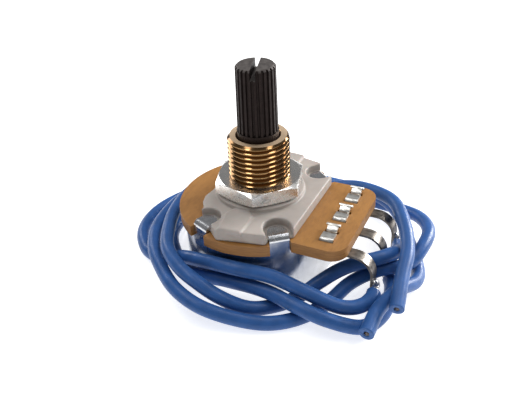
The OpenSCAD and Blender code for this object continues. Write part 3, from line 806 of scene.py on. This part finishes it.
class POT_OT_bushing(Operator):
    """Cuts the fine thread on the brass bushing and breaks its end"""
    bl_idname = "pot.bushing"
    bl_label = "Threaded bushing"

    def execute(self, context):
        s = context.scene.pot_thread
        bore = 3.22 * MM
        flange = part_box("bushing")[1].x
        root = s.crest - s.depth
        flange_top = BUSHING_FOOT + 0.8 * MM
        neck_top = BUSHING_FOOT + 1.2 * MM
        blank_foot = BUSHING_FOOT + 0.7 * MM
        # The blank stands out round the thread and comes in over its end at about 45 degrees
        spare = 1 * MM
        chamfer = 0.28 * MM
        lip_in, lip_down = 0.08 * MM, 0.06 * MM
        mouth_out, mouth_down = 0.25 * MM, 0.2 * MM
        rod = thread("bushing_thread", s.crest, s.depth, s.pitch, s.steps, BUSHING_FOOT + 1 * MM,
                     BUSHING_TOP - MERGE)
        blank = turned("bushing_blank", [
            (bore, blank_foot), (s.crest + spare, blank_foot),
            (s.crest + spare, BUSHING_TOP - chamfer - spare), (s.crest - chamfer, BUSHING_TOP - lip_down),
            (s.crest - chamfer - lip_in, BUSHING_TOP), (bore + mouth_out, BUSHING_TOP),
            (bore, BUSHING_TOP - mouth_down)])
        rod = combined(rod, blank, "INTERSECT")
        foot = turned("bushing_foot", [
            (bore, BUSHING_FOOT), (flange, BUSHING_FOOT), (flange, flange_top), (root, flange_top),
            (root, neck_top), (bore, neck_top)])
        deselect()
        foot.select_set(True)
        rod.select_set(True)
        context.view_layer.objects.active = rod
        bpy.ops.object.join()
        placed(rod, brass_finish(s.brass, s.crest, s.depth), ("bushing",), angle=28)
        return {"FINISHED"}


class POT_OT_nut(Operator):
    """Breaks the nut's edges and gives it mottled plate"""
    bl_idname = "pot.nut"
    bl_label = "Mounting nut"

    def execute(self, context):
        edge = 0.07 * MM
        softened("mounting_nut", "nut_hexagon", edge, nickel_finish(), angle=18)
        return {"FINISHED"}


class POT_OT_shaft(Operator):
    """Softens the splines, slot and tip of the moulded shaft"""
    bl_idname = "pot.shaft"
    bl_label = "Splined shaft"

    def execute(self, context):
        edge = 0.05 * MM
        skin = acetal_finish(context.scene.pot_body.shaft)
        obj = softened("shaft", "shaft_moulding", edge, skin, angle=32)
        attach(obj, "spindle")
        return {"FINISHED"}


# Housing

class POT_OT_front_plate(Operator):
    """Rounds the moulded plate's edges, pads and tab recesses"""
    bl_idname = "pot.front_plate"
    bl_label = "Front plate"

    def execute(self, context):
        s = context.scene.pot_body
        rounds = 7
        moulded("front_plate", "plate_moulding", s.edge, rounds, nylon_finish(s.nylon))
        return {"FINISHED"}


class POT_OT_board(Operator):
    """Breaks the punched edges of the element board"""
    bl_idname = "pot.board"
    bl_label = "Element board"

    def execute(self, context):
        s = context.scene.pot_body
        sheet = resin_paper_finish(s.board)
        softened("element_board", "board_sheet", s.edge / 2, sheet, angle=50)
        return {"FINISHED"}


class POT_OT_can(Operator):
    """Breaks the sheet edges of the can and plates it"""
    bl_idname = "pot.can"
    bl_label = "Can"

    def execute(self, context):
        s = context.scene.pot_body
        softened("rear_can", "can_drawn", s.edge / 2, plated_steel_finish(s.steel), angle=50)
        return {"FINISHED"}


class POT_OT_terminals(Operator):
    """Rounds the sheared edges of the three tinned terminals"""
    bl_idname = "pot.terminals"
    bl_label = "Terminals"

    def execute(self, context):
        edge = 0.05 * MM
        tin = tinned_finish()
        for key in ROUTES:
            softened("terminal_" + key, "terminal_%s_strip" % key, edge, tin, angle=40)
        return {"FINISHED"}


class POT_OT_inner_parts(Operator):
    """Gives the parts inside the can their finishes"""
    bl_idname = "pot.inner_parts"
    bl_label = "Inner parts"

    def execute(self, context):
        finishes = {
            "carbon_track": film_finish("carbon_film", (0.02, 0.02, 0.02), 0.0),
            "collector_ring": film_finish("silver_film", (0.6, 0.59, 0.56), 1.0),
            "retaining_ring": spring_finish("spring_steel", (0.42, 0.42, 0.44)),
            "rotor": punched_laminate_finish(),
            "wiper_spring": spring_finish("spring_bronze", (0.68, 0.42, 0.2)),
        }
        for node, material in finishes.items():
            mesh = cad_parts[node].data
            mesh.materials.clear()
            mesh.materials.append(material)
        return {"FINISHED"}


# Studio

def area_light(name, place, aim, size, power):
    """Rectangular light turned to a point."""
    light = bpy.data.lights.new(name, "AREA")
    light.shape = "RECTANGLE"
    light.size, light.size_y = size
    light.energy = power
    obj = bpy.data.objects.new(name, light)
    bpy.context.scene.collection.objects.link(obj)
    obj.location = place
    obj.rotation_mode = "QUATERNION"
    obj.rotation_quaternion = (Vector(place) - Vector(aim)).to_track_quat("Z", "Y")
    return obj


class POT_OT_camera(Operator):
    """Sets the camera at the product view"""
    bl_idname = "pot.camera"
    bl_label = "Camera"

    def execute(self, context):
        s = context.scene.pot_studio
        target = Vector((0, 0, NUT_TOP))
        right = Vector((math.cos(s.azimuth), math.sin(s.azimuth), 0))
        nearer = Vector((math.sin(s.azimuth), -math.cos(s.azimuth), 0))
        back = nearer * math.cos(s.elevation) + Vector((0, 0, math.sin(s.elevation)))
        up = right.cross(-back)
        ahead = (-back * math.cos(s.yaw) * math.cos(s.pitch) + right * math.sin(s.yaw) * math.cos(s.pitch)
                 + up * math.sin(s.pitch))
        level = ahead.cross(Vector((0, 0, 1))).normalized()
        above = level.cross(ahead)
        side = level * math.cos(s.roll) + above * math.sin(s.roll)
        top = above * math.cos(s.roll) - level * math.sin(s.roll)
        data = bpy.data.cameras.new("Camera")
        data.lens = s.lens
        data.sensor_width = 36
        data.sensor_fit = "HORIZONTAL"
        data.clip_start, data.clip_end = 1 * MM, 10
        camera = bpy.data.objects.new("Camera", data)
        context.scene.collection.objects.link(camera)
        turn = Matrix((side, top, -ahead)).transposed().to_4x4()
        camera.matrix_world = Matrix.Translation(target + back * s.distance) @ turn
        context.scene.camera = camera
        return {"FINISHED"}


class POT_OT_stage(Operator):
    """Lays the pale floor and sets the soft lights"""
    bl_idname = "pot.stage"
    bl_label = "Stage"

    def execute(self, context):
        s = context.scene.pot_studio
        under = 0.02 * MM
        deselect()
        bpy.ops.mesh.primitive_plane_add(size=FLOOR_SPAN, location=(0, 0, -under))
        floor = started("floor")
        bpy.ops.mesh.subdivide(number_cuts=3)
        bpy.ops.object.mode_set(mode="OBJECT")
        settled(floor)
        f = Finish("floor_paper", s.floor, roughness=0.7, Emission_Color=(1, 1, 1, 1),
                   Emission_Strength=s.glow)
        f.colour(f.ramp(f.noise(0.02, 3), (0.3, tinted(s.floor, 0.98)), (0.7, tinted(s.floor, 1.02))))
        floor.data.materials.append(f.material)
        world = bpy.data.worlds.new("studio")
        world.use_nodes = True
        sky = world.node_tree.nodes["Background"]
        sky.inputs["Color"].default_value = (0.97, 0.98, 1, 1)
        sky.inputs["Strength"].default_value = 0.2
        context.scene.world = world
        context.scene.view_settings.view_transform = "Standard"
        aim = (0, 0, 10 * MM)
        turn = Matrix.Rotation(s.azimuth, 3, "Z")
        # Places as seen from the camera's side, in metres, and power in watts
        for name, place, size, power in (
                ("overhead_left", (-0.11, 0.03, 0.3), (0.3, 0.06), 0.36),
                ("overhead_right", (0.11, 0.03, 0.3), (0.3, 0.06), 0.36),
                ("window_left", (-0.24, 0.3, 0.2), (0.12, 0.2), 0.4),
                ("window_right", (0.21, 0.12, 0.085), (0.1, 0.08), 0.8)):
            area_light(name, turn @ Vector(place), aim, size, power)
        return {"FINISHED"}


class POT_PT_panel(Panel):
    """Lists the sizes, the colours and the modelling steps"""
    bl_label = "Potentiometer"
    bl_idname = "POT_PT_panel"
    bl_space_type = "VIEW_3D"
    bl_region_type = "UI"
    bl_category = "Potentiometer"

    def draw(self, context):
        for name, group in GROUPS.items():
            box = self.layout.box()
            for key in group.__annotations__:
                box.prop(getattr(context.scene, name), key)
        for step in STEPS:
            self.layout.operator(step.bl_idname)


GROUPS = {"pot_leads": LeadSettings, "pot_thread": ThreadSettings, "pot_body": BodySettings,
          "pot_studio": StudioSettings}
STEPS = (POT_OT_camera, POT_OT_leads, POT_OT_joints, POT_OT_bushing, POT_OT_nut, POT_OT_shaft,
         POT_OT_front_plate, POT_OT_board, POT_OT_can, POT_OT_terminals, POT_OT_inner_parts, POT_OT_stage)


def register():
    for group in (*GROUPS.values(), *STEPS, POT_PT_panel):
        bpy.utils.register_class(group)
    for name, group in GROUPS.items():
        setattr(bpy.types.Scene, name, PointerProperty(type=group))


def unregister():
    for name in GROUPS:
        delattr(bpy.types.Scene, name)
    for group in (POT_PT_panel, *reversed(STEPS), *GROUPS.values()):
        bpy.utils.unregister_class(group)


def main():
    register()
    for step in STEPS:
        family, name = step.bl_idname.split(".")
        getattr(getattr(bpy.ops, family), name)()


if __name__ == "__main__":
    main()
